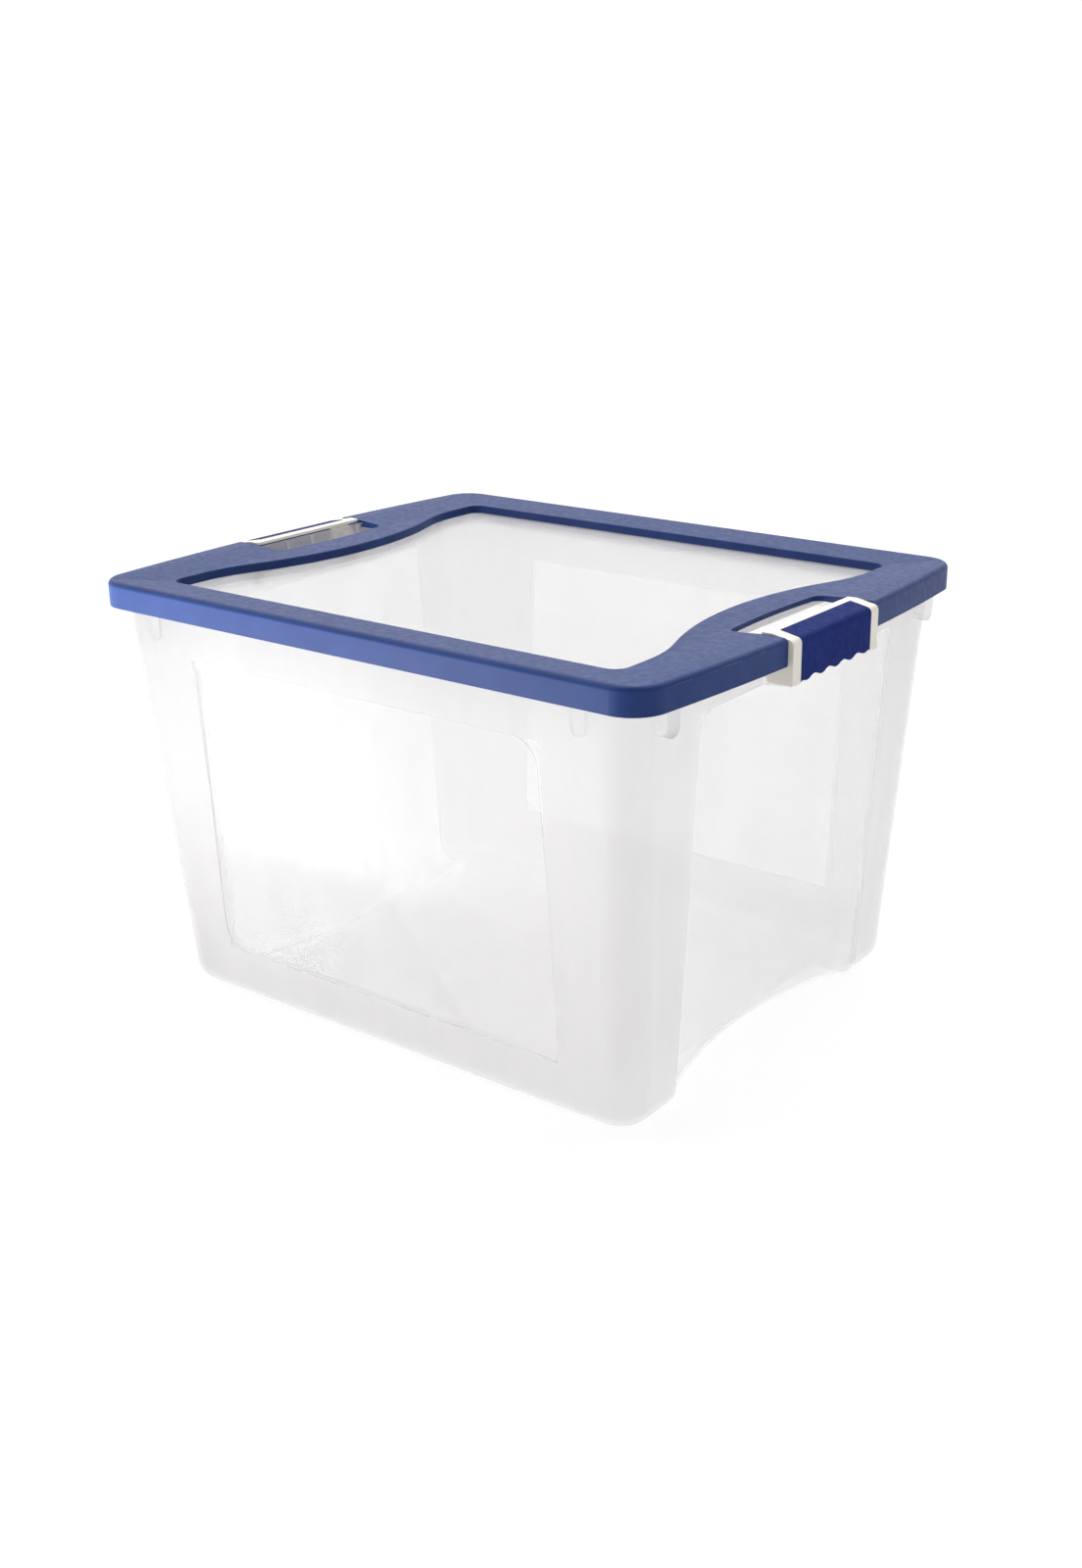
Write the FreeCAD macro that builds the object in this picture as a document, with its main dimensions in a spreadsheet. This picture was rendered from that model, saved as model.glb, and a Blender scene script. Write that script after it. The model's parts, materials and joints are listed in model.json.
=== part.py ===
import FreeCAD, Part
import math
import os

import Sketcher

# A clear storage tote with a framed lid and two hinged end latches.
# Millimetres. The origin is the middle of the footprint, on the floor.
# +X runs along the length, towards the right latch; +Z is up.

SIZES = {
    # bin, measured outside the wall
    "base_length": 464.6,
    "base_width": 390.2,
    "corner": 27.0,
    "rim_length": 504.0,
    "rim_width": 435.4,
    "rim_height": 347.7,
    "wall": 2.2,
    "floor": 3.2,
    "floor_round": 19.0,
    "floor_step": 1.0,
    "floor_step_inset": 40.0,
    # recessed end panels: nearly flush at the top, bowed inwards at the floor
    "end_panel_width": 275.0,
    "end_panel_top": 311.4,
    "end_panel_corner": 17.0,
    "end_panel_depth": 2.0,
    "end_bow_middle": 203.6,
    "end_bow_radius": 364.0,
    "end_top_radius": 6000.0,
    # recessed long-side panels
    "side_panel_top_width": 334.0,
    "side_panel_base_width": 348.0,
    "side_panel_top": 296.7,
    "side_panel_base": 46.0,
    "side_panel_corner": 20.0,
    "side_panel_depth": 1.2,
    # rolled rim under the lid skirt
    "rim_gap": 4.0,
    "rim_plate": 2.2,
    "rim_lip": 1.8,
    "rim_lip_height": 8.0,
    "latch_gap_margin": 2.5,
    "latch_gap_inset": 0.2,
    # stacking tabs beside each corner
    "tab_foot": 307.5,
    "side_tab_place": 206.0,
    "side_tab_width": 12.0,
    "side_tab_proud": 3.2,
    "end_tab_place": 184.0,
    "end_tab_width": 16.0,
    "end_tab_proud": 9.0,
    # stiffening ribs inside the rim, behind each latch
    "rib_pitch": 29.0,
    "rib_width": 2.0,
    "rib_depth": 1.6,
    "rib_foot": 322.0,
    "rib_drop": 0.3,
    # lid
    "lid_top": 350.5,
    "lid_length": 522.0,
    "lid_width": 452.0,
    "lid_bow": 13.0,
    "lid_corner": 27.0,
    "lid_skirt": 20.4,
    "lid_plate": 2.5,
    "lid_skirt_wall": 2.5,
    "lid_edge_round": 4.0,
    # the lid's top falls from near its outer edge to the window
    "lid_fall": 2.7,
    "fall_start_inset": 6.0,
    "fall_foot_margin": 1.5,
    "lid_ledge": 14.5,
    "lid_ledge_corner": 24.0,
    # lid window and its clear panel
    "window_middle": 188.0,
    "window_end": 217.5,
    "window_side": 187.5,
    "window_corner": 11.0,
    "window_bulge": 300.0,
    "window_sweep": 155.0,
    "window_wall": 2.4,
    "window_edge_round": 1.2,
    "panel_top": 341.0,
    "panel_thickness": 2.0,
    "panel_length": 440.4,
    "panel_width": 404.0,
    "panel_corner": 14.0,
    "panel_rebate": 0.4,
    "panel_field_gap": 0.3,
    # latch notch in the lid, and the two keepers that the latch clamps
    "notch_half": 63.5,
    "notch_middle": 220.0,
    "notch_bulge": 600.0,
    "notch_corner": 8.0,
    "notch_wall": 2.0,
    "notch_wall_foot": 344.2,
    "notch_wall_end": 249.0,
    "keeper_inner": 253.0,
    "keeper_outer": 258.5,
    "keeper_top": 348.4,
    "keeper_depth": 3.4,
    "keeper_reach": 56.5,
    "keeper_root": 65.5,
    # latch: hinge line and profile
    "pivot_x": 266.0,
    "pivot_z": 319.5,
    "latch_half": 62.2,
    "latch_wall": 2.8,
    "tongue_tip": 250.8,
    "tongue_top": 351.3,
    "tongue_thickness": 1.8,
    "tongue_root": 1.5,
    "tongue_bead": 0.5,
    "tongue_bead_width": 1.2,
    "latch_crest_x": 258.8,
    "latch_crest_z": 351.5,
    "latch_brow_z": 348.2,
    "latch_front": 276.6,
    "latch_foot": 315.8,
    "latch_front_round": 4.6,
    "brow_sink": 0.82,
    "cheek_neck": 260.0,
    "cheek_neck_z": 342.5,
    "cheek_waist": 253.4,
    "cheek_waist_z": 338.0,
    "cheek_foot": 256.0,
    "stub_radius": 3.5,
    "stub_inner": 50.5,
    # latch lugs on the bin
    "lug_inner": 50.0,
    "lug_outer": 58.0,
    "lug_radius": 6.2,
    "lug_bore_radius": 3.57,
    "lug_root": 247.0,
    "lug_drop": 8.0,
    # grip moulded over the latch
    "grip_half": 50.5,
    "grip_depth": 1.8,
    "grip_proud": 0.4,
    "grip_foot": 317.6,
    "grip_wave": 1.35,
    "grip_waves": 5.0,
    "grip_wave_pitch": 21.2,
    "grip_backing_foot": 320.5,
}

CLEAR = 400.0  # reach of the cutting solids past the object
OVER = 5.0  # how far a cut starts outside the face that it opens
PAST = 20.0  # how far a panel's cutting form runs past the panel
JOIN = 0.5  # how far one feature runs into the next
SAME = 1e-4  # two positions closer than this are one
ROUND_END = 1.0001  # a half circle's arc is drawn a touch flat, so that its short side is known

doc = FreeCAD.newDocument("LatchedStorageTote")
sheet = doc.addObject("Spreadsheet::Sheet", "Sizes")
for row, (alias, number) in enumerate(SIZES.items(), start=1):
    sheet.set(f"A{row}", alias)
    sheet.set(f"B{row}", str(number))
    sheet.setAlias(f"B{row}", alias)
doc.recompute()


class Measure:
    """A length with both its number and the spreadsheet formula that gives it."""

    def __init__(self, value, text):
        self.value = value
        self.text = text

    def combine(self, other, sign, value):
        return Measure(value, f"({self.text} {sign} {as_measure(other).text})")

    def __add__(self, other):
        return self.combine(other, "+", self.value + as_measure(other).value)

    def __sub__(self, other):
        return self.combine(other, "-", self.value - as_measure(other).value)

    def __mul__(self, other):
        return self.combine(other, "*", self.value * as_measure(other).value)

    def __truediv__(self, other):
        return self.combine(other, "/", self.value / as_measure(other).value)

    def __neg__(self):
        return Measure(-self.value, f"(0 - {self.text})")

    def root(self):
        return Measure(math.sqrt(self.value), f"sqrt({self.text})")


def as_measure(number):
    if isinstance(number, Measure):
        return number
    return Measure(float(number), f"{float(number)}")


def size(alias):
    return Measure(SIZES[alias], f"Sizes.{alias}")


def bind(thing, prop, measure):
    """Tie a property to the spreadsheet."""
    thing.setExpression(prop, as_measure(measure).text)


# ---------------------------------------------------------------- sketches

def new_body(name):
    return doc.addObject("PartDesign::Body", name)


def new_sketch(body, name, role, height=0):
    """A sketch on one of the body's origin planes, lifted along its normal."""
    plane = [item for item in body.Origin.OriginFeatures if item.Role == role][0]
    sketch = body.newObject("Sketcher::SketchObject", name)
    sketch.AttachmentSupport = [(plane, "")]
    sketch.MapMode = "FlatFace"
    bind(sketch, "AttachmentOffset.Base.z", height)
    return sketch


def pin_coordinate(sketch, kind, axis, geometry, vertex, measure):
    """Hold one coordinate of a vertex at its measure from the origin."""
    if abs(measure.value) < 1e-9:
        sketch.addConstraint(Sketcher.Constraint("PointOnObject", geometry, vertex, axis))
        return
    ends = (-1, 1, geometry, vertex)
    if measure.value < 0:
        ends = (geometry, vertex, -1, 1)
        measure = -measure
    index = sketch.addConstraint(Sketcher.Constraint(kind, *ends, measure.value))
    bind(sketch, f"Constraints[{index}]", measure)


def arc_between(start, end, radius):
    """The short arc from start to end; a positive radius turns left, a negative one right."""
    chord = end - start
    middle = (start + end) * 0.5
    left = FreeCAD.Vector(-chord.y, chord.x, 0).normalize()
    rise = math.sqrt(max(radius * radius - chord.Length ** 2 / 4, 0.0))
    centre = middle + left * (rise if radius > 0 else -rise)
    first, last = (start, end) if radius > 0 else (end, start)
    angles = [math.atan2(p.y - centre.y, p.x - centre.x) for p in (first, last)]
    if angles[1] < angles[0]:
        angles[1] += 2 * math.pi
    circle = Part.Circle(centre, FreeCAD.Vector(0, 0, 1), abs(radius))
    return Part.ArcOfCircle(circle, angles[0], angles[1])


def draw_loop(sketch, corners, radii=None):
    """A closed outline through the corners; an edge with a radius is an arc."""
    radii = radii or {}
    corners = [(as_measure(x), as_measure(y)) for x, y in corners]
    points = [FreeCAD.Vector(x.value, y.value, 0) for x, y in corners]
    edges = []
    for i, start in enumerate(points):
        end = points[(i + 1) % len(points)]
        if i not in radii:
            edges.append((sketch.addGeometry(Part.LineSegment(start, end)), 1, 2))
            continue
        radius = as_measure(radii[i])
        geometry = sketch.addGeometry(arc_between(start, end, radius.value))
        edges.append((geometry, 1, 2) if radius.value > 0 else (geometry, 2, 1))
        length = radius if radius.value > 0 else -radius
        index = sketch.addConstraint(Sketcher.Constraint("Radius", geometry, length.value))
        bind(sketch, f"Constraints[{index}]", length)
    for i, (geometry, first, last) in enumerate(edges):
        following = edges[(i + 1) % len(edges)]
        sketch.addConstraint(
            Sketcher.Constraint("Coincident", geometry, last, following[0], following[1]))
        x, y = corners[i]
        pin_coordinate(sketch, "DistanceX", -2, geometry, first, x)
        pin_coordinate(sketch, "DistanceY", -1, geometry, first, y)


def draw_circle(sketch, x, y, radius):
    circle = Part.Circle(FreeCAD.Vector(x.value, y.value, 0), FreeCAD.Vector(0, 0, 1), radius.value)
    geometry = sketch.addGeometry(circle)
    index = sketch.addConstraint(Sketcher.Constraint("Radius", geometry, radius.value))
    bind(sketch, f"Constraints[{index}]", radius)
    pin_coordinate(sketch, "DistanceX", -2, geometry, 3, x)
    pin_coordinate(sketch, "DistanceY", -1, geometry, 3, y)


def draw_rectangle(sketch, low_x, low_y, high_x, high_y):
    draw_loop(sketch, [(low_x, low_y), (high_x, low_y), (high_x, high_y), (low_x, high_y)])


def draw_rounded_rectangle(sketch, half_x, half_y, radius):
    x = half_x - radius
    y = half_y - radius
    draw_loop(sketch, [(-x, -half_y), (x, -half_y), (half_x, -y), (half_x, y),
                       (x, half_y), (-x, half_y), (-half_x, y), (-half_x, -y)],
              {1: radius, 3: radius, 5: radius, 7: radius})


# ---------------------------------------------------------------- features

def pad(body, sketch, length, both_ways=False, down=False):
    feature = body.newObject("PartDesign::Pad", f"{sketch.Name}_pad")
    feature.Profile = sketch
    bind(feature, "Length", length)
    feature.Midplane = both_ways
    feature.Reversed = down
    return feature


def pocket(body, sketch, length, both_ways=False, up=False):
    """Cut from the sketch; a pocket on the XY plane runs downwards unless told to run up."""
    before = body.Shape.Volume
    feature = body.newObject("PartDesign::Pocket", f"{sketch.Name}_pocket")
    feature.Profile = sketch
    bind(feature, "Length", length)
    feature.Midplane = both_ways
    feature.Reversed = up
    doc.recompute()
    if not body.Shape.Volume < before - 1e-3:
        raise RuntimeError(f"{feature.Name} removes nothing")
    return feature


def loft(body, low, high):
    """A ruled solid between two sections, built from the top down so that it can be rounded."""
    feature = body.newObject("PartDesign::AdditiveLoft", f"{low.Name}_loft")
    feature.Profile = high
    feature.Sections = [low]
    feature.Ruled = True
    return feature


def fillet(body, base, radius, chosen):
    """Round the edges of the base feature that the test picks."""
    doc.recompute()
    names = [f"Edge{i}" for i, edge in enumerate(base.Shape.Edges, start=1) if chosen(edge)]
    if not names:
        raise RuntimeError(f"no edge to round on {base.Name}")
    feature = body.newObject("PartDesign::Fillet", f"{base.Name}_round")
    feature.Base = (base, names)
    bind(feature, "Radius", radius)
    return feature


def lies_at_height(height):
    def test(edge):
        box = edge.BoundBox
        return abs(box.ZMin - height) < SAME and abs(box.ZMax - height) < SAME
    return test


def passes_through(x, z):
    """Picks the edges that run along Y through one point of the XZ plane."""
    def test(edge):
        box = edge.BoundBox
        spread = [box.XMin - x, box.XMax - x, box.ZMin - z, box.ZMax - z]
        return max(abs(gap) for gap in spread) < SAME
    return test


def cut(name, base, *tools):
    """Take the tools away from the base, one after another."""
    result = base
    for number, tool in enumerate(tools, start=1):
        step = doc.addObject("Part::Cut", name if number == len(tools) else f"{name}_step_{number}")
        step.Base = result
        step.Tool = tool
        result = step
    doc.recompute()
    return result


def fuse(name, shapes):
    feature = doc.addObject("Part::MultiFuse", name)
    feature.Shapes = shapes
    doc.recompute()
    return feature


def mirror_to_left(name, source):
    feature = doc.addObject("Part::Mirroring", name)
    feature.Source = source
    feature.Normal = FreeCAD.Vector(1, 0, 0)
    doc.recompute()
    return feature


# ---------------------------------------------------------------- outlines

def bin_half_length(level, inset):
    taper = (size("rim_length") - size("base_length")) * level / size("rim_height")
    return (size("base_length") + taper) / 2 - inset


def bin_half_width(level, inset):
    taper = (size("rim_width") - size("base_width")) * level / size("rim_height")
    return (size("base_width") + taper) / 2 - inset


def draw_bowed_rectangle(sketch, inset):
    """The lid outline: straight long sides, ends bowed outwards, round corners."""
    half_x = size("lid_length") / 2 - inset
    half_y = size("lid_width") / 2 - inset
    corner = size("lid_corner") - inset
    bow = size("lid_bow")
    end_radius = (half_y * half_y + bow * bow) / (bow * 2)
    end_centre = half_x + bow - end_radius
    corner_y = half_y - corner
    reach = end_radius - corner
    corner_x = end_centre + (reach * reach - corner_y * corner_y).root()
    meet_x = end_centre + (corner_x - end_centre) * end_radius / reach
    meet_y = corner_y * end_radius / reach
    draw_loop(sketch, [(-corner_x, -half_y), (corner_x, -half_y), (meet_x, -meet_y), (meet_x, meet_y),
                       (corner_x, half_y), (-corner_x, half_y), (-meet_x, meet_y), (-meet_x, -meet_y)],
              {1: corner, 2: end_radius, 3: corner, 5: corner, 6: end_radius, 7: corner})


def draw_window(sketch, grow):
    """The lid window: its ends bulge inwards beside the latches and sweep out to the corners."""
    middle = size("window_middle") + grow
    end = size("window_end") + grow
    side = size("window_side") + grow
    corner = size("window_corner") + grow
    sweep = size("window_sweep")
    step = size("window_end") - size("window_middle")
    both_radii = (sweep * sweep + step * step) / (step * 2)
    bulge = size("window_bulge") - grow
    turn_y = sweep * bulge / both_radii
    turn_x = middle + step * bulge / both_radii
    flare = both_radii - bulge
    x = end - corner
    y = side - corner
    right = [(x, -side), (end, -y), (end, -sweep), (turn_x, -turn_y),
             (turn_x, turn_y), (end, sweep), (end, y), (x, side)]
    left = [(-px, -py) for px, py in right]
    radii = {0: corner, 2: flare, 3: -bulge, 4: flare, 6: corner}
    radii.update({edge + 8: radius for edge, radius in list(radii.items())})
    draw_loop(sketch, right + left, radii)


def draw_notch(sketch, side, grow, outer):
    """The latch notch: an arc across its inner edge, then straight sides out past the lid."""
    half = size("notch_half") + grow
    corner = size("notch_corner") + grow
    bulge = size("notch_bulge") - grow
    middle = size("notch_middle") - grow
    centre_x = middle + bulge
    reach = bulge - corner
    corner_y = half - corner
    corner_x = centre_x - (reach * reach - corner_y * corner_y).root()
    meet_x = centre_x - (centre_x - corner_x) * bulge / reach
    meet_y = corner_y * bulge / reach
    path = [(corner_x, half), (meet_x, meet_y), (meet_x, -meet_y), (corner_x, -half),
            (outer, -half), (outer, half)]
    if side < 0:
        path = [(-x, -y) for x, y in path]
    draw_loop(sketch, path, {0: corner, 1: bulge, 2: corner})


# ---------------------------------------------------------------- bin

def tapered_block(name, inset, low, high):
    """The bin's tapered form between two levels, its corners and its floor edge rounded."""
    body = new_body(name)
    sections = []
    for place, level in (("low", low), ("high", high)):
        sketch = new_sketch(body, f"{name}_{place}", "XY_Plane", level)
        half_x = bin_half_length(level, inset)
        half_y = bin_half_width(level, inset)
        draw_rectangle(sketch, -half_x, -half_y, half_x, half_y)
        sections.append(sketch)
    sharp = loft(body, *sections)

    def is_upright(edge):
        return edge.BoundBox.ZLength > size("rim_height").value / 2

    upright = fillet(body, sharp, size("corner") - inset, is_upright)
    fillet(body, upright, size("floor_round") - inset, lies_at_height(low.value))
    doc.recompute()
    return body


def end_panel_core(name, inset, low):
    """Everything inside the two end panels: flat above, bowed inwards in plan at the floor."""
    body = new_body(name)
    top = size("end_panel_top") + PAST
    top_middle = bin_half_length(top, inset) - size("end_panel_depth")
    half_y = size("base_width") / 2 + PAST * 2
    rise = (top_middle - size("end_bow_middle") + inset) / top
    low_middle = size("end_bow_middle") - inset + rise * low
    sections = []
    for place, level, middle, radius in (("low", low, low_middle, size("end_bow_radius") + inset),
                                         ("high", top, top_middle, size("end_top_radius"))):
        sketch = new_sketch(body, f"{name}_{place}", "XY_Plane", level)
        edge_x = middle + radius - (radius * radius - half_y * half_y).root()
        draw_loop(sketch, [(edge_x, -half_y), (edge_x, half_y), (-edge_x, half_y), (-edge_x, -half_y)],
                  {0: -radius, 2: -radius})
        sections.append(sketch)
    feature = loft(body, *sections)

    def is_end_arc(edge):
        return lies_at_height(as_measure(low).value)(edge) and edge.Curve.TypeId != "Part::GeomLine"

    fillet(body, feature, size("floor_round") - inset, is_end_arc)
    doc.recompute()
    return body


def end_panel_slab(name, inset):
    """A slab along X with the outline of the end panels."""
    body = new_body(name)
    sketch = new_sketch(body, f"{name}_outline", "YZ_Plane")
    half = size("end_panel_width") / 2 + inset
    top = size("end_panel_top") + inset
    corner = size("end_panel_corner") + inset
    draw_loop(sketch, [(-half, -PAST), (half, -PAST), (half, top - corner), (half - corner, top),
                       (-half + corner, top), (-half, top - corner)],
              {2: corner, 4: corner})
    pad(body, sketch, 2 * CLEAR, both_ways=True)
    doc.recompute()
    return body


def side_panel_core(name, inset):
    """Everything inside the two long-side panels."""
    body = new_body(name)
    sections = []
    for place, level in (("low", as_measure(0)), ("high", size("rim_height"))):
        sketch = new_sketch(body, f"{name}_{place}", "XY_Plane", level)
        half_y = bin_half_width(level, inset) - size("side_panel_depth")
        draw_rectangle(sketch, as_measure(-CLEAR), -half_y, as_measure(CLEAR), half_y)
        sections.append(sketch)
    loft(body, *sections)
    doc.recompute()
    return body


def side_panel_slab(name, inset):
    """A slab along Y with the outline of the long-side panels, wider at the bottom."""
    body = new_body(name)
    sketch = new_sketch(body, f"{name}_outline", "XZ_Plane")
    top_half = size("side_panel_top_width") / 2 + inset
    base_half = size("side_panel_base_width") / 2 + inset
    top = size("side_panel_top") + inset
    base = size("side_panel_base") - inset
    corner = size("side_panel_corner")
    slope = (base_half - top_half) / (top - base)
    draw_loop(sketch,
              [(-base_half + corner, base), (base_half - corner, base),
               (base_half - slope * corner, base + corner), (top_half + slope * corner, top - corner),
               (top_half - corner, top), (-top_half + corner, top),
               (-top_half - slope * corner, top - corner), (-base_half + slope * corner, base + corner)],
              {1: corner, 3: corner, 5: corner, 7: corner})
    pad(body, sketch, 2 * CLEAR, both_ways=True)
    doc.recompute()
    return body


def bin_form(name, inset, low, high):
    """The bin's form with both pairs of panels recessed; the inset gives the wall's inside."""
    block = tapered_block(f"{name}_block", inset, low, high)
    end_slab = end_panel_slab(f"{name}_end_slab", inset)
    end_core = end_panel_core(f"{name}_end_core", inset, low)
    side_slab = side_panel_slab(f"{name}_side_slab", inset)
    side_core = side_panel_core(f"{name}_side_core", inset)
    end_cutter = cut(f"{name}_end_cutter", end_slab, end_core)
    side_cutter = cut(f"{name}_side_cutter", side_slab, side_core)
    return cut(name, block, end_cutter, side_cutter)


def bin_rim():
    """The rim: a plate round the mouth with a lip turned down, cut back where the latches sit."""
    body = new_body("rim")
    foot = size("rim_height") - size("rim_lip_height")
    outline = new_sketch(body, "rim_outline", "XY_Plane", foot)
    draw_bowed_rectangle(outline, size("rim_gap"))
    pad(body, outline, size("rim_lip_height"))
    doc.recompute()
    hollow = new_sketch(body, "rim_hollow", "XY_Plane", foot)
    draw_bowed_rectangle(hollow, size("rim_gap") + size("rim_lip"))
    pocket(body, hollow, size("rim_lip_height") - size("rim_plate"), up=True)
    latch_gap = new_sketch(body, "rim_latch_gap", "XY_Plane", foot)
    half = size("notch_half") + size("latch_gap_margin")
    inner = size("rim_length") / 2 + size("latch_gap_inset")
    draw_rectangle(latch_gap, inner, -half, as_measure(CLEAR), half)
    draw_rectangle(latch_gap, as_measure(-CLEAR), -half, -inner, half)
    pocket(body, latch_gap, size("rim_lip_height") + OVER, up=True)
    return body


def bin_lugs():
    """Two lugs at each end that carry the latch stubs."""
    body = new_body("lugs")
    profile = new_sketch(body, "lug_profile", "XZ_Plane")
    x, z = size("pivot_x"), size("pivot_z")
    radius = size("lug_radius")
    root, foot = size("lug_root"), z - size("lug_drop")
    reach = x - root
    fall = z - foot
    span = (reach * reach + fall * fall).root()
    tip = (x + radius * fall / span, z - radius * reach / span)
    for side in (1, -1):
        path = [(root, z + radius), (root, foot), tip, (x, z + radius)]
        if side < 0:
            path = [(-px, pz) for px, pz in reversed(path)]
            draw_loop(profile, path, {0: radius})
        else:
            draw_loop(profile, path, {2: radius})
    pad(body, profile, size("lug_outer") * 2, both_ways=True)
    doc.recompute()
    between = new_sketch(body, "lug_gap", "XZ_Plane")
    for side in (1, -1):
        low, high = sorted(((root - PAST) * side, as_measure(CLEAR * side)), key=lambda m: m.value)
        draw_rectangle(between, low, z - PAST * 2, high, z + PAST * 2)
    pocket(body, between, size("lug_inner") * 2, both_ways=True)
    bores = new_sketch(body, "lug_bores", "XZ_Plane")
    for side in (1, -1):
        draw_circle(bores, x * side, z, size("lug_bore_radius"))
    pocket(body, bores, size("lug_outer") * 2 + OVER, both_ways=True)
    return body


def bin_tabs(kind, plane, half_reach):
    """Four round-ended tabs on one pair of walls, hanging below the rim beside the corners."""
    body = new_body(f"{kind}_tabs")
    profile = new_sketch(body, f"{kind}_tab_profile", plane)
    height = size("rim_height") - size("rim_plate")
    half = size(f"{kind}_tab_width") / 2
    foot = size("tab_foot") + half
    for side in (1, -1):
        place = size(f"{kind}_tab_place") * side
        draw_loop(profile, [(place - half, foot), (place + half, foot),
                            (place + half, height), (place - half, height)],
                  {0: half * ROUND_END})
    pad(body, profile, (half_reach + size(f"{kind}_tab_proud")) * 2, both_ways=True)
    doc.recompute()
    return body


def rim_ribs():
    """Short upright ribs inside each end of the mouth, behind the latch."""
    body = new_body("rim_ribs")
    sketch = new_sketch(body, "rim_rib_plan", "XY_Plane", size("rib_foot"))
    inner = bin_half_length(size("rib_foot"), size("wall")) - size("rib_depth")
    outer = bin_half_length(size("rib_foot"), JOIN)
    half = size("rib_width") / 2
    for side in (1, -1):
        for number in (-2, -1, 0, 1, 2):
            y = size("rib_pitch") * number
            ends = sorted((inner * side, outer * side), key=lambda m: m.value)
            draw_rectangle(sketch, ends[0], y - half, ends[1], y + half)
    pad(body, sketch, size("rim_height") - size("rib_drop") - size("rib_foot"))
    doc.recompute()
    return body


def base_bin():
    outside = bin_form("bin_outside", as_measure(0), as_measure(0), size("rim_height"))
    inside = bin_form("bin_inside", size("wall"), size("floor"), size("rim_height") + OVER * 2)
    side_tabs = bin_tabs("side", "XZ_Plane", bin_half_width(size("tab_foot"), 0))
    end_tabs = bin_tabs("end", "YZ_Plane", bin_half_length(size("tab_foot"), 0))
    filled = fuse("bin_filled", [outside, bin_rim(), bin_lugs(), side_tabs, end_tabs])
    step = new_body("floor_step_block")
    sketch = new_sketch(step, "floor_step_plan", "XY_Plane")
    inset = size("floor_step_inset")
    draw_rounded_rectangle(sketch, size("end_bow_middle") - inset, size("base_width") / 2 - inset,
                           size("corner"))
    pad(step, sketch, size("floor_step"))
    hollow = cut("bin_hollow", filled, inside, step)
    return fuse("base_bin", [hollow, rim_ribs()])


# ---------------------------------------------------------------- lid

def lid_frame():
    body = new_body("lid_frame")
    foot = size("lid_top") - size("lid_skirt")
    low_top = size("lid_top") - size("lid_fall")
    under = low_top - size("lid_plate")
    outline = new_sketch(body, "lid_outline", "XY_Plane", foot)
    draw_bowed_rectangle(outline, as_measure(0))
    block = pad(body, outline, size("lid_skirt"))
    fillet(body, block, size("lid_edge_round"), lies_at_height(size("lid_top").value))
    doc.recompute()
    sink_lid_top(body, low_top)
    hollow_lid(body, foot, under)
    collar = new_sketch(body, "window_collar", "XY_Plane", size("panel_top") - size("panel_rebate"))
    draw_window(collar, size("window_wall"))
    pad(body, collar, under + JOIN - size("panel_top") + size("panel_rebate"))
    for side, place in ((1, "right"), (-1, "left")):
        wall = new_sketch(body, f"notch_wall_{place}", "XY_Plane", size("notch_wall_foot"))
        draw_notch(wall, side, size("notch_wall"), size("notch_wall_end"))
        pad(body, wall, under + JOIN - size("notch_wall_foot"))
    doc.recompute()
    window = new_sketch(body, "window_opening", "XY_Plane", size("lid_top") + OVER)
    draw_window(window, as_measure(0))
    opened = pocket(body, window, size("lid_skirt") + OVER * 2)
    for side, place in ((1, "right"), (-1, "left")):
        notch = new_sketch(body, f"notch_{place}", "XY_Plane", size("lid_top") + OVER)
        draw_notch(notch, side, as_measure(0), as_measure(CLEAR))
        opened = pocket(body, notch, size("lid_skirt") + OVER * 2)

    def on_window_top(edge):
        box = edge.BoundBox
        inside_x = max(abs(box.XMin), abs(box.XMax)) < size("window_end").value + SAME
        inside_y = max(abs(box.YMin), abs(box.YMax)) < size("window_side").value + SAME
        return lies_at_height(low_top.value)(edge) and inside_x and inside_y

    fillet(body, opened, size("window_edge_round"), on_window_top)
    doc.recompute()
    add_keepers(body)
    return body


def sink_lid_top(body, low_top):
    """Let the top fall from near its outer edge to a flat round the window."""
    inset = size("fall_start_inset")
    margin = size("fall_foot_margin")
    high = new_sketch(body, "fall_start", "XY_Plane", size("lid_top"))
    draw_rectangle(high, -(size("lid_length") / 2 - inset), -(size("lid_width") / 2 - inset),
                   size("lid_length") / 2 - inset, size("lid_width") / 2 - inset)
    low = new_sketch(body, "fall_foot", "XY_Plane", low_top)
    draw_rectangle(low, -(size("window_end") + margin), -(size("window_side") + margin),
                   size("window_end") + margin, size("window_side") + margin)
    feature = body.newObject("PartDesign::SubtractiveLoft", "lid_fall_loft")
    feature.Profile = high
    feature.Sections = [low]
    feature.Ruled = True
    doc.recompute()


def hollow_lid(body, foot, under):
    """Hollow the lid from below, deeper over the bin's rim than round the window."""
    hollow = new_sketch(body, "lid_hollow", "XY_Plane", foot)
    draw_bowed_rectangle(hollow, size("lid_skirt_wall"))
    pocket(body, hollow, under - foot, up=True)
    over_rim = new_sketch(body, "lid_rim_hollow", "XY_Plane", foot)
    draw_bowed_rectangle(over_rim, size("lid_skirt_wall"))
    draw_rounded_rectangle(over_rim, size("lid_length") / 2 - size("lid_ledge"),
                           size("lid_width") / 2 - size("lid_ledge"), size("lid_ledge_corner"))
    pocket(body, over_rim, size("lid_top") - size("lid_plate") - foot, up=True)


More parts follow.
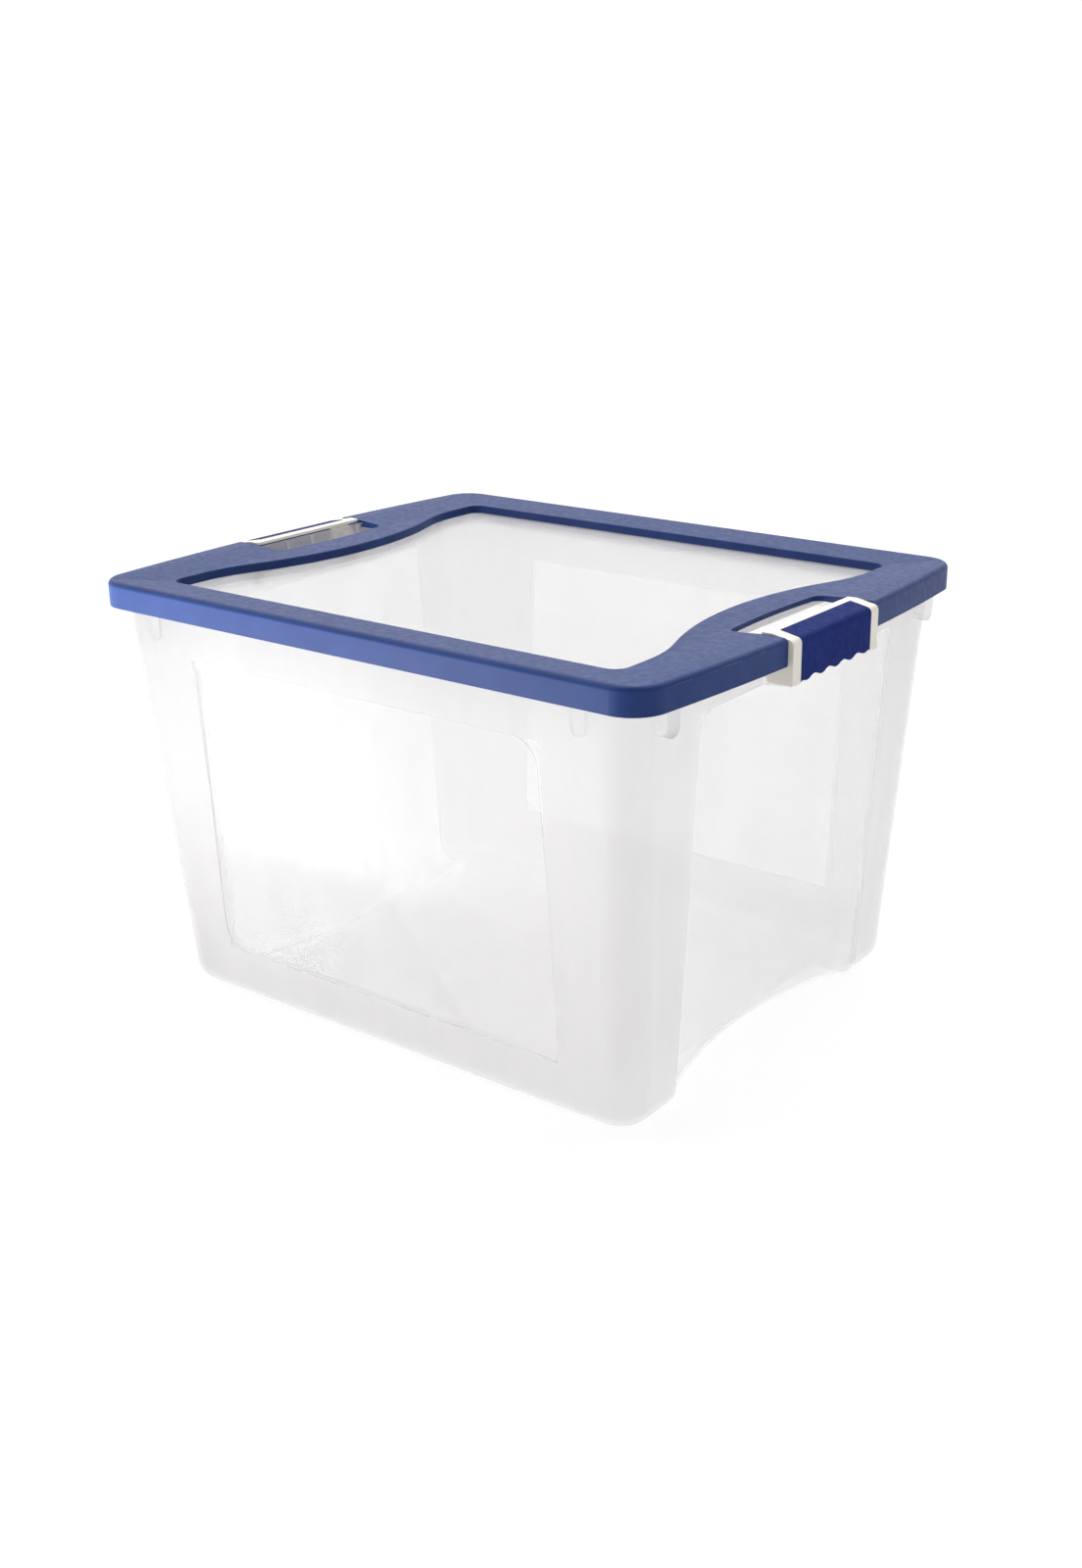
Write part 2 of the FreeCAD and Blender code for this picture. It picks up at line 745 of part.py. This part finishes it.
def add_keepers(body):
    """Two short keepers in each notch, hung from its sides, for the latch to clamp."""
    keepers = new_sketch(body, "keepers", "XY_Plane", size("keeper_top"))
    for end in (1, -1):
        low_x, high_x = sorted((size("keeper_inner") * end, size("keeper_outer") * end),
                               key=lambda m: m.value)
        draw_rectangle(keepers, low_x, size("keeper_reach"), high_x, size("keeper_root"))
        draw_rectangle(keepers, low_x, -size("keeper_root"), high_x, -size("keeper_reach"))
    pad(body, keepers, size("keeper_depth"), down=True)
    doc.recompute()


def lid_window():
    """The clear panel: its middle field stands up inside the frame's collar."""
    body = new_body("lid_window")
    low = size("panel_top") - size("panel_rebate")
    sketch = new_sketch(body, "panel_outline", "XY_Plane", low)
    draw_rounded_rectangle(sketch, size("panel_length") / 2, size("panel_width") / 2,
                           size("panel_corner"))
    pad(body, sketch, size("panel_thickness") - size("panel_rebate"), down=True)
    field = new_sketch(body, "panel_field", "XY_Plane", low)
    draw_window(field, -size("panel_field_gap"))
    pad(body, field, size("panel_rebate"))
    doc.recompute()
    return body


# ---------------------------------------------------------------- latch

def latch_outer_path(depth):
    """Points along the latch's outer profile, from crest to foot, sunk by a depth."""
    front = size("latch_front") - depth
    return [(size("latch_crest_x"), size("latch_crest_z") - depth),
            (front, size("latch_brow_z") - depth * size("brow_sink")),
            (front, size("latch_foot"))]


def latch_frame():
    body = new_body("latch_frame_right")
    half = size("latch_half")
    wall = size("latch_wall")
    tip = size("tongue_tip")
    under = size("tongue_top") - size("tongue_thickness")
    crest, brow, foot = latch_outer_path(as_measure(0))
    below = foot[1] - OVER
    cheek = new_sketch(body, "cheek_profile", "XZ_Plane")
    draw_loop(cheek, [(tip, under), (size("cheek_neck"), under),
                      (size("cheek_neck"), size("cheek_neck_z")),
                      (size("cheek_waist"), size("cheek_waist_z")), (size("cheek_foot"), foot[1]),
                      foot, brow, crest, (tip, size("tongue_top"))])
    block = pad(body, cheek, half * 2, both_ways=True)
    fillet(body, block, size("latch_front_round"), passes_through(brow[0].value, brow[1].value))
    doc.recompute()
    crest_in, brow_in, foot_in = latch_outer_path(wall)
    hollow = new_sketch(body, "latch_hollow", "XZ_Plane")
    draw_loop(hollow, [(tip - OVER, under), (tip - OVER, below), (foot_in[0], below), brow_in, crest_in,
                       (crest_in[0] - size("tongue_root"), under)])
    pocket(body, hollow, (half - wall) * 2, both_ways=True)
    seat = new_sketch(body, "grip_seat", "XZ_Plane")
    draw_grip_section(seat, as_measure(OVER))
    pocket(body, seat, size("grip_half") * 2, both_ways=True)
    backing = new_sketch(body, "backing_foot", "XZ_Plane")
    draw_rectangle(backing, foot_in[0] - JOIN, below, foot[0] + OVER, size("grip_backing_foot"))
    pocket(body, backing, size("grip_half") * 2, both_ways=True)
    bead = new_sketch(body, "tongue_bead", "XZ_Plane")
    crown = under - size("tongue_bead")
    width = size("tongue_bead_width")
    draw_loop(bead, [(tip, under + JOIN), (tip, crown), (tip + width, crown),
                     (tip + width + size("tongue_bead"), under + JOIN)])
    pad(body, bead, (half - wall) * 2, both_ways=True)
    stub = new_sketch(body, "stub_profile", "XZ_Plane")
    draw_circle(stub, size("pivot_x"), size("pivot_z"), size("stub_radius"))
    pad(body, stub, (half - wall + JOIN) * 2, both_ways=True)
    doc.recompute()
    gap = new_sketch(body, "stub_gap", "XZ_Plane")
    draw_circle(gap, size("pivot_x"), size("pivot_z"), size("stub_radius") + JOIN)
    pocket(body, gap, size("stub_inner") * 2, both_ways=True)
    return body


def draw_grip_section(sketch, proud):
    """The grip's section: a bent strip over the latch's brow, standing proud of it."""
    outer = latch_outer_path(-proud)
    inner = latch_outer_path(size("grip_depth"))
    foot = size("latch_foot") - OVER
    draw_loop(sketch, [inner[0], inner[1], (inner[2][0], foot), (outer[2][0], foot), outer[1], outer[0]])


def latch_grip():
    body = new_body("latch_grip_right")
    section = new_sketch(body, "grip_section", "XZ_Plane")
    draw_grip_section(section, size("grip_proud"))
    strip = pad(body, section, size("grip_half") * 2, both_ways=True)
    brow = latch_outer_path(-size("grip_proud"))[1]
    fillet(body, strip, size("latch_front_round") + size("grip_proud"),
           passes_through(brow[0].value, brow[1].value))
    doc.recompute()
    wave = new_sketch(body, "grip_wave_edge", "YZ_Plane")
    waves = int(SIZES["grip_waves"])
    half = size("grip_half")
    step = size("grip_wave_pitch") / 2
    rise = size("grip_wave")
    radius = (step * step / 4 + rise * rise) / (rise * 2)
    level = size("grip_foot")
    below = size("latch_foot") - OVER * 2
    last = step * (waves - 0.5)
    path = [(-half, below), (half, below), (half, level - rise / 2)]
    path += [(last - step * number, level) for number in range(2 * waves)]
    path += [(-half, level - rise / 2)]
    radii = {3 + number: radius if number % 2 else -radius for number in range(2 * waves - 1)}
    draw_loop(wave, path, radii)
    pocket(body, wave, CLEAR, up=True)
    return body


# ---------------------------------------------------------------- assembly

def finish(node, label):
    node.Label = label
    return node


bin_node = base_bin()
frame_node = lid_frame()
window_node = lid_window()
shell_right = latch_frame()
grip_right = latch_grip()
nodes = [
    finish(bin_node, "base_bin"),
    finish(frame_node, "lid_frame"),
    finish(window_node, "lid_window"),
    finish(shell_right, "latch_frame_right"),
    finish(grip_right, "latch_grip_right"),
    finish(mirror_to_left("latch_frame_left", shell_right), "latch_frame_left"),
    finish(mirror_to_left("latch_grip_left", grip_right), "latch_grip_left"),
]
doc.recompute()

for item in doc.Objects:
    if "Invalid" in item.State or "Error" in item.State:
        raise RuntimeError(f"{item.Name} failed: {item.State}")
for node in nodes:
    if node.Shape.isNull() or not node.Shape.isValid():
        raise RuntimeError(f"{node.Label} has no valid shape")

os.makedirs("parts", exist_ok=True)
for node in nodes:
    node.Shape.exportStep(f"parts/{node.Label}.step")
    box = node.Shape.BoundBox
    print(f"{node.Label}: {len(node.Shape.Solids)} solid, {node.Shape.Volume / 1000:.1f} cm3, "
          f"x {box.XMin:.1f} {box.XMax:.1f}, y {box.YMin:.1f} {box.YMax:.1f}, "
          f"z {box.ZMin:.1f} {box.ZMax:.1f}")
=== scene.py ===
"""A clear latched storage tote with a blue framed lid, on a pale studio floor."""

import json
import math

import bmesh
import bpy
from mathutils import Matrix, Vector


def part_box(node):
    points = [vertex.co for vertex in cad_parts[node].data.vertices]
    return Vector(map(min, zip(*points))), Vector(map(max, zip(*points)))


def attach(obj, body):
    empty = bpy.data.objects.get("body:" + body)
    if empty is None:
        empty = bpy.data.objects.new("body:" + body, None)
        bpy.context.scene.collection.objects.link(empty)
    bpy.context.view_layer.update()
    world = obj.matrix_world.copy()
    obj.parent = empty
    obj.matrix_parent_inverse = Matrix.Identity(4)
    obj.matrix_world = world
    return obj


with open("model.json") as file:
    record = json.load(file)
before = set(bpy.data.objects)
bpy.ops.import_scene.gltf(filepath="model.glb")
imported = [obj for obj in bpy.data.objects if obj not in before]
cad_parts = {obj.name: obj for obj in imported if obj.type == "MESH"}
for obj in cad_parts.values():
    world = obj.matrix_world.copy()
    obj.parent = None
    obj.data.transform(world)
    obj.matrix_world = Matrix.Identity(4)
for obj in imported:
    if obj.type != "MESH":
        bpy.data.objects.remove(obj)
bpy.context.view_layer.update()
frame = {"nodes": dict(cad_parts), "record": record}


# ---------------------------------------------------------------- node helpers

def new_material(name):
    """A node material with its shader and output in place."""
    material = bpy.data.materials.new(name)
    material.use_nodes = True
    tree = material.node_tree
    return material, tree, tree.nodes["Principled BSDF"]


def set_inputs(shader, **values):
    """Set sockets by name, with underscores standing for spaces."""
    for name, value in values.items():
        shader.inputs[name.replace("_", " ")].default_value = value


def plug(tree, value, socket):
    """Feed a socket from another socket, or set it to a plain number."""
    if isinstance(value, (int, float)):
        socket.default_value = value
    else:
        tree.links.new(value, socket)


def calc(tree, operation, first, second=0.0):
    """A sum on one or two numbers or sockets."""
    node = tree.nodes.new("ShaderNodeMath")
    node.operation = operation
    plug(tree, first, node.inputs[0])
    plug(tree, second, node.inputs[1])
    return node.outputs[0]


def place(tree):
    """The object's own x, y and z in metres."""
    coordinates = tree.nodes.new("ShaderNodeTexCoord")
    split = tree.nodes.new("ShaderNodeSeparateXYZ")
    tree.links.new(coordinates.outputs["Object"], split.inputs[0])
    return split.outputs[0], split.outputs[1], split.outputs[2]


def spread(tree, value, low, high, start, stop):
    """A number that runs smoothly from low to high while the value runs from start to stop."""
    node = tree.nodes.new("ShaderNodeMapRange")
    node.interpolation_type = "SMOOTHSTEP"
    plug(tree, value, node.inputs["Value"])
    for name, number in (("From Min", start), ("From Max", stop)):
        node.inputs[name].default_value = number
    plug(tree, low, node.inputs["To Min"])
    plug(tree, high, node.inputs["To Max"])
    return node.outputs["Result"]


def noise(tree, scale, detail=2.0, stretch=None):
    """Noise in the object's own coordinates, with its scale in features per metre."""
    coordinates = tree.nodes.new("ShaderNodeTexCoord")
    texture = tree.nodes.new("ShaderNodeTexNoise")
    texture.inputs["Scale"].default_value = scale
    texture.inputs["Detail"].default_value = detail
    source = coordinates.outputs["Object"]
    if stretch:
        mapping = tree.nodes.new("ShaderNodeMapping")
        mapping.inputs["Scale"].default_value = stretch
        tree.links.new(source, mapping.inputs["Vector"])
        source = mapping.outputs["Vector"]
    tree.links.new(source, texture.inputs["Vector"])
    return texture.outputs["Fac"]


def blend(tree, factor, low, high):
    """Mix two colours, each a tuple or a socket."""
    node = tree.nodes.new("ShaderNodeMix")
    node.data_type = "RGBA"
    tree.links.new(factor, node.inputs["Factor"])
    for value, name in ((low, "A"), (high, "B")):
        socket = [each for each in node.inputs if each.name == name and each.type == "RGBA"][0]
        if isinstance(value, tuple):
            socket.default_value = value
        else:
            tree.links.new(value, socket)
    return [each for each in node.outputs if each.type == "RGBA"][0]


def rounded_normal(tree):
    """The surface normal with sharp edges rounded off."""
    bevel = tree.nodes.new("ShaderNodeBevel")
    bevel.samples = EDGE_SAMPLES
    bevel.inputs["Radius"].default_value = EDGE_ROUND
    return bevel.outputs["Normal"]


def bump(tree, shader, layers, normal=None):
    """Stack height layers, each (height, strength, distance), on a normal."""
    for height, strength, distance in layers:
        node = tree.nodes.new("ShaderNodeBump")
        node.inputs["Strength"].default_value = strength
        node.inputs["Distance"].default_value = distance
        tree.links.new(height, node.inputs["Height"])
        if normal:
            tree.links.new(normal, node.inputs["Normal"])
        normal = node.outputs["Normal"]
    tree.links.new(normal, shader.inputs["Normal"])


def worn_edges(tree):
    """Nearly one along sharp edges and zero elsewhere, from how far the edge rounding tilts."""
    geometry = tree.nodes.new("ShaderNodeNewGeometry")
    along = tree.nodes.new("ShaderNodeVectorMath")
    along.operation = "DOT_PRODUCT"
    tree.links.new(rounded_normal(tree), along.inputs[0])
    tree.links.new(geometry.outputs["Normal"], along.inputs[1])
    return spread(tree, along.outputs["Value"], 1.0, 0.0, *WORN_TILT)


# ---------------------------------------------------------------- materials

# how noise is cut to an even range, and how much of a rubbed edge shows
MIDDLE = (0.3, 0.7)
WORN_TILT = (0.75, 0.985)
WORN_PATCHES = 120.0
WORN_SHARE = (0.2, 0.7)
WORN_CUT = (0.4, 0.65)
EDGE_ROUND = 0.0004
EDGE_SAMPLES = 4

# clear plastics: colours, roughness, cover (alpha), transmission and surface waves
CLEAR_IOR = 1.30
BIN_LOW = (0.835, 0.82, 0.825, 1)
BIN_HIGH = (0.865, 0.85, 0.855, 1)
BIN_CLOUDS = 9.0
BIN_FLOW = 14.0
BIN_FLOW_STRETCH = (1.0, 1.0, 0.25)
BIN_HAZE = 0.03
BIN_WAVES = (22.0, 0.03, 0.0006)
BIN_GRAIN = (700.0, 0.05, 0.00005)
ROUGH_CLEAR, ROUGH_FROSTED = 0.16, 0.38
COVER_CLEAR, COVER_FROSTED = 0.33, 0.46
THROUGH_CLEAR, THROUGH_FROSTED = 0.60, 0.40
WINDOW_LOW = (0.54, 0.535, 0.54, 1)
WINDOW_HIGH = (0.57, 0.565, 0.57, 1)
WINDOW_FLOW = 11.0
WINDOW_FLOW_STRETCH = (0.3, 1.0, 1.0)
WINDOW_ROUGH = (0.10, 0.18)
WINDOW_COVER = (0.40, 0.44)
WINDOW_THROUGH = (0.62, 0.68)
WINDOW_WAVES = (16.0, 0.03, 0.0006)

# opaque plastics: mottle, roughness patches, grain and waves, in features per metre
MOTTLE = 35.0
ROUGH_PATCHES = 180.0
GRAIN_STRENGTH = 0.2
WAVES = (25.0, 0.02, 0.0008)
OPAQUE = {
    "blue_lid": {"ior": 1.21, "dark": (0.017, 0.040, 0.155, 1), "light": (0.020, 0.046, 0.172, 1),
                 "worn": (0.07, 0.11, 0.27, 1), "rough": (0.36, 0.46),
                 "grain": 1600.0, "depth": 0.00012},
    "cream_latch": {"ior": 1.40, "dark": (0.78, 0.74, 0.67, 1), "light": (0.81, 0.77, 0.71, 1),
                    "worn": (0.86, 0.84, 0.80, 1), "rough": (0.30, 0.40),
                    "grain": 900.0, "depth": 0.00004},
    "blue_grip": {"ior": 1.13, "dark": (0.003, 0.015, 0.135, 1), "light": (0.004, 0.018, 0.155, 1),
                  "worn": (0.02, 0.045, 0.22, 1), "rough": (0.48, 0.60),
                  "grain": 2200.0, "depth": 0.00010},
}

# where the bin's clearer panels lie, in metres
SIDE_PANEL_HALF = 0.170
SIDE_PANEL_LEVEL = 0.1714
SIDE_PANEL_RISE = 0.1254
SIDE_WALL_FROM = 0.165
END_PANEL_HALF = 0.1375
END_PANEL_TOP = 0.3114
END_WALL_FROM = 0.19
MASK_SOFT = 0.0012


def frosted_mask(tree):
    """One on the bin's frosted corners, floor and rim, zero on its four clearer panels."""
    x, y, z = place(tree)
    away_x = calc(tree, "ABSOLUTE", x)
    away_y = calc(tree, "ABSOLUTE", y)
    level = calc(tree, "ABSOLUTE", calc(tree, "SUBTRACT", z, SIDE_PANEL_LEVEL))
    side = calc(tree, "MAXIMUM", calc(tree, "SUBTRACT", away_x, SIDE_PANEL_HALF),
                calc(tree, "SUBTRACT", level, SIDE_PANEL_RISE))
    side = calc(tree, "MAXIMUM", side, calc(tree, "SUBTRACT", SIDE_WALL_FROM, away_y))
    end = calc(tree, "MAXIMUM", calc(tree, "SUBTRACT", away_y, END_PANEL_HALF),
               calc(tree, "SUBTRACT", z, END_PANEL_TOP))
    end = calc(tree, "MAXIMUM", end, calc(tree, "SUBTRACT", END_WALL_FROM, away_x))
    return spread(tree, calc(tree, "MINIMUM", side, end), 0.0, 1.0, -MASK_SOFT, MASK_SOFT)


def wave_layer(tree, wave):
    """A bump layer of noise: (features per metre, strength, distance)."""
    scale, strength, distance = wave
    return noise(tree, scale), strength, distance


def clear_bin():
    """Natural polypropylene: clearer panels between milky, finely frosted corners."""
    material, tree, shader = new_material("clear_bin")
    set_inputs(shader, IOR=CLEAR_IOR)
    frosted = frosted_mask(tree)
    cloud = noise(tree, BIN_CLOUDS, detail=3.0)
    flow = noise(tree, BIN_FLOW, detail=4.0, stretch=BIN_FLOW_STRETCH)
    tree.links.new(blend(tree, cloud, BIN_LOW, BIN_HIGH), shader.inputs["Base Color"])
    haze = spread(tree, flow, -BIN_HAZE, BIN_HAZE, *MIDDLE)
    rough = spread(tree, frosted, ROUGH_CLEAR, ROUGH_FROSTED, 0.0, 1.0)
    tree.links.new(calc(tree, "ADD", rough, haze), shader.inputs["Roughness"])
    cover = spread(tree, frosted, COVER_CLEAR, COVER_FROSTED, 0.0, 1.0)
    tree.links.new(calc(tree, "ADD", cover, haze), shader.inputs["Alpha"])
    through = spread(tree, frosted, THROUGH_CLEAR, THROUGH_FROSTED, 0.0, 1.0)
    tree.links.new(through, shader.inputs["Transmission Weight"])
    bump(tree, shader, [wave_layer(tree, BIN_WAVES), wave_layer(tree, BIN_GRAIN)])
    return material


def clear_window():
    """The lid's clear panel: glossier than the bin, with faint flow marks."""
    material, tree, shader = new_material("clear_window")
    set_inputs(shader, IOR=CLEAR_IOR)
    flow = noise(tree, WINDOW_FLOW, detail=3.0, stretch=WINDOW_FLOW_STRETCH)
    tree.links.new(blend(tree, flow, WINDOW_LOW, WINDOW_HIGH), shader.inputs["Base Color"])
    for limits, name in ((WINDOW_ROUGH, "Roughness"), (WINDOW_COVER, "Alpha"),
                         (WINDOW_THROUGH, "Transmission Weight")):
        tree.links.new(spread(tree, flow, *limits, *MIDDLE), shader.inputs[name])
    bump(tree, shader, [wave_layer(tree, WINDOW_WAVES)])
    return material


def moulded_plastic(name, ior, dark, light, worn, rough, grain, depth):
    """Opaque moulded plastic: a fine grain, a slight mottle and paler rubbed edges."""
    material, tree, shader = new_material(name)
    set_inputs(shader, IOR=ior)
    mottle = spread(tree, noise(tree, MOTTLE, detail=4.0), 0.0, 1.0, *MIDDLE)
    patches = spread(tree, noise(tree, WORN_PATCHES), *WORN_SHARE, *WORN_CUT)
    rubbed = calc(tree, "MULTIPLY", worn_edges(tree), patches)
    colour = blend(tree, mottle, dark, light)
    tree.links.new(blend(tree, rubbed, colour, worn), shader.inputs["Base Color"])
    tree.links.new(spread(tree, noise(tree, ROUGH_PATCHES), *rough, *MIDDLE),
                   shader.inputs["Roughness"])
    bump(tree, shader, [(noise(tree, grain, detail=3.0), GRAIN_STRENGTH, depth),
                        wave_layer(tree, WAVES)], rounded_normal(tree))
    return material


MATERIALS = {"clear_bin": clear_bin(), "clear_window": clear_window()}
for opaque_slot, look in OPAQUE.items():
    MATERIALS[opaque_slot] = moulded_plastic(opaque_slot, **look)


def paint(obj, slot):
    """Give an object the material of a slot, and nothing else."""
    obj.data.materials.clear()
    obj.data.materials.append(MATERIALS[slot])


for subpart in frame["record"]["subparts"]:
    paint(frame["nodes"][subpart["node"]], subpart["material_slot"])


# ---------------------------------------------------------------- painted shade inside the latches

# lengths in metres of the painted shade sheet: the latch wall behind it, its own thickness, ribs
# and outline
LINING_WALL = 0.0028
LINING_THICK = 0.0008
LINING_RIB = 0.0003
LINING_RIB_PITCH = 0.006
LINING_HALF = 0.0485
LINING_FOOT_GAP = 0.0035
LINING_HEAD_GAP = 0.0085
LINING_EDGE = 0.0012
LINING_MERGE = 1e-7
LINING_ROWS = 30
LINING_COLUMNS = 240


def lining_depth(across, up, foot, head):
    """Thickness of the painted shade sheet: flat with shallow upright ribs, rolled off at its
    outline.
    """
    inset = min(LINING_HALF - abs(across), up - foot, head - up)
    roll = min(1.0, max(0.0, inset / LINING_EDGE))
    ribs = 0.5 + 0.5 * math.cos(math.tau * across / LINING_RIB_PITCH)
    return math.sqrt(1.0 - (1.0 - roll) ** 2) * (LINING_THICK + LINING_RIB * ribs)


def add_painted_shade(place_name, end):
    """Painted shade: a dark sheet in the grip's blue on the inside of the latch's front wall,
    darkening the shadowed gap under the latch's tongue.

    A flat back sheet and a ribbed front sheet that meet all round their shared outline.
    """
    low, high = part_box(f"latch_frame_{place_name}")
    outer = (high.x if end > 0 else -low.x) - LINING_WALL
    foot = low.z + LINING_FOOT_GAP
    head = high.z - LINING_HEAD_GAP
    build = bmesh.new()
    sheets = []
    for layer in (0, 1):
        grid = []
        for row in range(LINING_ROWS + 1):
            up = foot + (head - foot) * row / LINING_ROWS
            line = []
            for column in range(LINING_COLUMNS + 1):
                across = LINING_HALF * (2.0 * column / LINING_COLUMNS - 1.0)
                depth = lining_depth(across, up, foot, head) if layer else 0.0
                line.append(build.verts.new(((outer - depth) * end, across, up)))
            grid.append(line)
        sheets.append(grid)
    for layer, grid in enumerate(sheets):
        for row in range(LINING_ROWS):
            for column in range(LINING_COLUMNS):
                corners = [grid[row][column], grid[row][column + 1],
                           grid[row + 1][column + 1], grid[row + 1][column]]
                build.faces.new(corners if layer else corners[::-1])
    bmesh.ops.remove_doubles(build, verts=build.verts[:], dist=LINING_MERGE)
    bmesh.ops.recalc_face_normals(build, faces=build.faces[:])
    for face in build.faces:
        face.smooth = True
    mesh = bpy.data.meshes.new(f"grip_lining_{place_name}")
    build.to_mesh(mesh)
    build.free()
    lining = bpy.data.objects.new(f"grip_lining_{place_name}", mesh)
    bpy.context.scene.collection.objects.link(lining)
    # painted shade: the sheet takes the grip's dark blue so that the gap behind the latch front
    # reads as shadow
    paint(lining, "blue_grip")
    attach(lining, f"latch_{place_name}")


# dark sheets of painted shade inside both latches
add_painted_shade("right", 1)
add_painted_shade("left", -1)


# ---------------------------------------------------------------- studio

# the floor: a near-white sweep that glows a little, so that it stays even and shadowless
FLOOR_HALF = 15.0
FLOOR_ROUGH = 0.9
FLOOR_GLOSS = 0.1
FLOOR_MOTTLE = 3.0
FLOOR_LOW = (0.20, 0.20, 0.20, 1)
FLOOR_HIGH = (0.22, 0.22, 0.22, 1)
FLOOR_GLOW = 0.82
WHITE = (1, 1, 1, 1)

# the tent: brightness at the horizon, behind (low and high) and in front, and where each turns
HORIZON = 1.04
BACK_LOW, BACK_HIGH = 1.5, 3.3
FRONT = 0.04
BACK_RISE = (0.45, 0.80)
FRONT_TURN = (-0.15, 0.20)
HORIZON_BAND = (0.10, 0.40)
DIM_AZIMUTH = math.radians(52)

# low panels that shine up from just above the floor: middle, size and watts
UP = Vector((0, 0, 1))
FRONT_PANEL = ((-0.45, -0.80, 0.012), (0.9, 0.85), 4.5)
SKIRT_PANEL = ((-0.62, -0.62, 0.012), (0.9, 0.60), 30.0)

# the camera: where it stands and looks, in metres and degrees, and its lens
CAMERA_SPOT = (0.8737, -1.1074, 0.6791)
CAMERA_AZIMUTH, CAMERA_ELEVATION, CAMERA_ROLL = 36.21, 20.67, -0.26
CAMERA_LENS = 41.08
CAMERA_SENSOR = 36.0
CAMERA_SHIFT = (-0.0365, 0.0140)
CAMERA_REACH = 50.0


def make_floor():
    """A wide, seamless, near-white sweep."""
    mesh = bpy.data.meshes.new("floor")
    build = bmesh.new()
    bmesh.ops.create_grid(build, x_segments=1, y_segments=1, size=FLOOR_HALF)
    build.to_mesh(mesh)
    build.free()
    floor = bpy.data.objects.new("floor", mesh)
    bpy.context.scene.collection.objects.link(floor)
    material, tree, shader = new_material("floor")
    set_inputs(shader, Roughness=FLOOR_ROUGH, Specular_IOR_Level=FLOOR_GLOSS,
               Emission_Color=WHITE, Emission_Strength=FLOOR_GLOW)
    mottle = noise(tree, FLOOR_MOTTLE)
    tree.links.new(blend(tree, mottle, FLOOR_LOW, FLOOR_HIGH), shader.inputs["Base Color"])
    floor.data.materials.append(material)


def make_panel(name, spot, size, power):
    """A soft rectangle of light that faces straight up and doesn't show itself."""
    light = bpy.data.lights.new(name, "AREA")
    light.shape = "RECTANGLE"
    light.size, light.size_y = size
    light.energy = power
    lamp = bpy.data.objects.new(name, light)
    lamp.location = spot
    lamp.rotation_euler = UP.to_track_quat("-Z", "Y").to_euler()
    lamp.visible_camera = False
    bpy.context.scene.collection.objects.link(lamp)
    return lamp


def light_only(lamp, *nodes):
    """Let a light reach only these CAD nodes."""
    group = bpy.data.collections.new(f"{lamp.name}_reaches")
    for node in nodes:
        group.objects.link(frame["nodes"][node])
    lamp.light_linking.receiver_collection = group


def make_world():
    """A studio tent: white behind and overhead, dimmer in front, an even band at the horizon."""
    world = bpy.data.worlds.new("studio")
    world.use_nodes = True
    tree = world.node_tree
    coordinates = tree.nodes.new("ShaderNodeTexCoord")
    split = tree.nodes.new("ShaderNodeSeparateXYZ")
    tree.links.new(coordinates.outputs["Generated"], split.inputs[0])
    height = split.outputs[2]
    facing = tree.nodes.new("ShaderNodeVectorMath")
    facing.operation = "DOT_PRODUCT"
    tree.links.new(coordinates.outputs["Generated"], facing.inputs[0])
    facing.inputs[1].default_value = (math.sin(DIM_AZIMUTH), -math.cos(DIM_AZIMUTH), 0.0)
    back = spread(tree, height, BACK_LOW, BACK_HIGH, *BACK_RISE)
    tent = spread(tree, facing.outputs["Value"], back, FRONT, *FRONT_TURN)
    strength = spread(tree, height, HORIZON, tent, *HORIZON_BAND)
    background = tree.nodes["Background"]
    tree.links.new(strength, background.inputs["Strength"])
    background.inputs["Color"].default_value = WHITE
    bpy.context.scene.world = world


def make_camera():
    """A view of the front right corner from a little above the lid."""
    azimuth, elevation, roll = (math.radians(angle) for angle in
                                (CAMERA_AZIMUTH, CAMERA_ELEVATION, CAMERA_ROLL))
    back = Vector((math.sin(azimuth) * math.cos(elevation),
                   -math.cos(azimuth) * math.cos(elevation), math.sin(elevation)))
    right = Vector((math.cos(azimuth), math.sin(azimuth), 0))
    up = back.cross(right)
    turned_right = right * math.cos(roll) + up * math.sin(roll)
    turned_up = up * math.cos(roll) - right * math.sin(roll)
    data = bpy.data.cameras.new("camera")
    data.sensor_width = CAMERA_SENSOR
    data.lens = CAMERA_LENS
    data.shift_x, data.shift_y = CAMERA_SHIFT
    data.clip_end = CAMERA_REACH
    camera = bpy.data.objects.new("camera", data)
    camera.matrix_world = Matrix((turned_right, turned_up, back)).transposed().to_4x4()
    camera.location = CAMERA_SPOT
    bpy.context.scene.collection.objects.link(camera)
    bpy.context.scene.camera = camera


make_floor()
make_world()
make_panel("front_panel", *FRONT_PANEL)
light_only(make_panel("skirt_panel", *SKIRT_PANEL), "lid_frame")
make_camera()
bpy.context.scene.view_settings.view_transform = "Standard"
